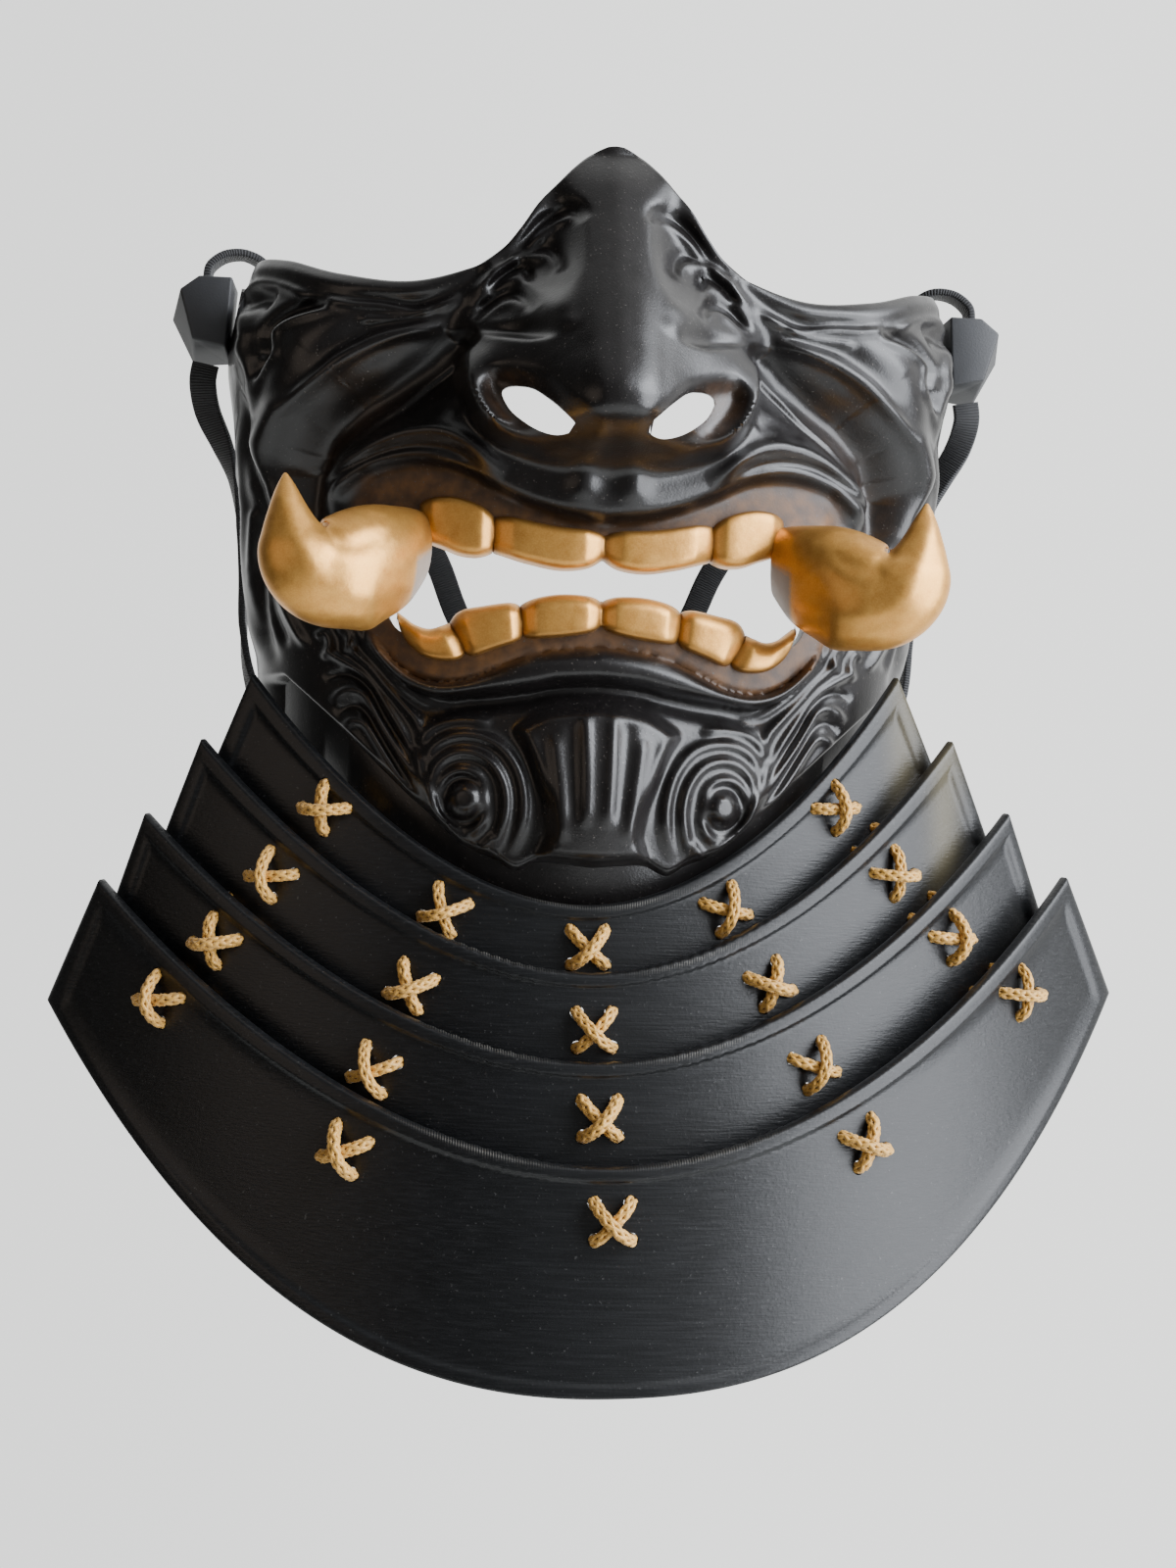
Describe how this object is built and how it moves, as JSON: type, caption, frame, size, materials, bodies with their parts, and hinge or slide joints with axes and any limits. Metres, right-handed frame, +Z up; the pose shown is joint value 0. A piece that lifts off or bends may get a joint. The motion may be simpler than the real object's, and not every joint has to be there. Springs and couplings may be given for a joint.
{
  "type": "samurai face guard",
  "caption": "Half mask for the lower face with bared teeth and tusks, laced throat plates below it and elastic loops that hold it on.",
  "frame": {"origin": "middle of the mask's open back, level with the mouth, where the wearer's face sits", "axes": "-Y the way the face looks, +Z up from the mouth to the nose bridge, +X to the right as seen from the front"},
  "size_m": [0.2519, 0.1356, 0.2676],
  "materials": {
    "lacquer": "gloss black lacquer with brown shading in the hollows",
    "gold_paint": "semi-gloss metallic gold paint, darker in the seams",
    "satin_plastic": "satin black with fine sanding streaks",
    "gold_cord": "braided gold cord",
    "block_plastic": "matt dark grey",
    "elastic": "black ribbed flat elastic"
  },
  "bodies": {
    "root": {"mask_shell": "lacquer", "upper_teeth": "gold_paint", "lower_teeth": "gold_paint", "tusk_right": "gold_paint", "tusk_left": "gold_paint", "strap_block_right": "block_plastic", "strap_block_left": "block_plastic", "neck_plate_1": "satin_plastic", "neck_plate_2": "satin_plastic", "neck_plate_3": "satin_plastic", "neck_plate_4": "satin_plastic", "neck_lace_1": "gold_cord", "neck_lace_2": "gold_cord", "neck_lace_3": "gold_cord", "neck_lace_4": "gold_cord", "neck_lace_5": "gold_cord", "head_strap": "elastic", "neck_strap": "elastic"}
  },
  "joints": []
}
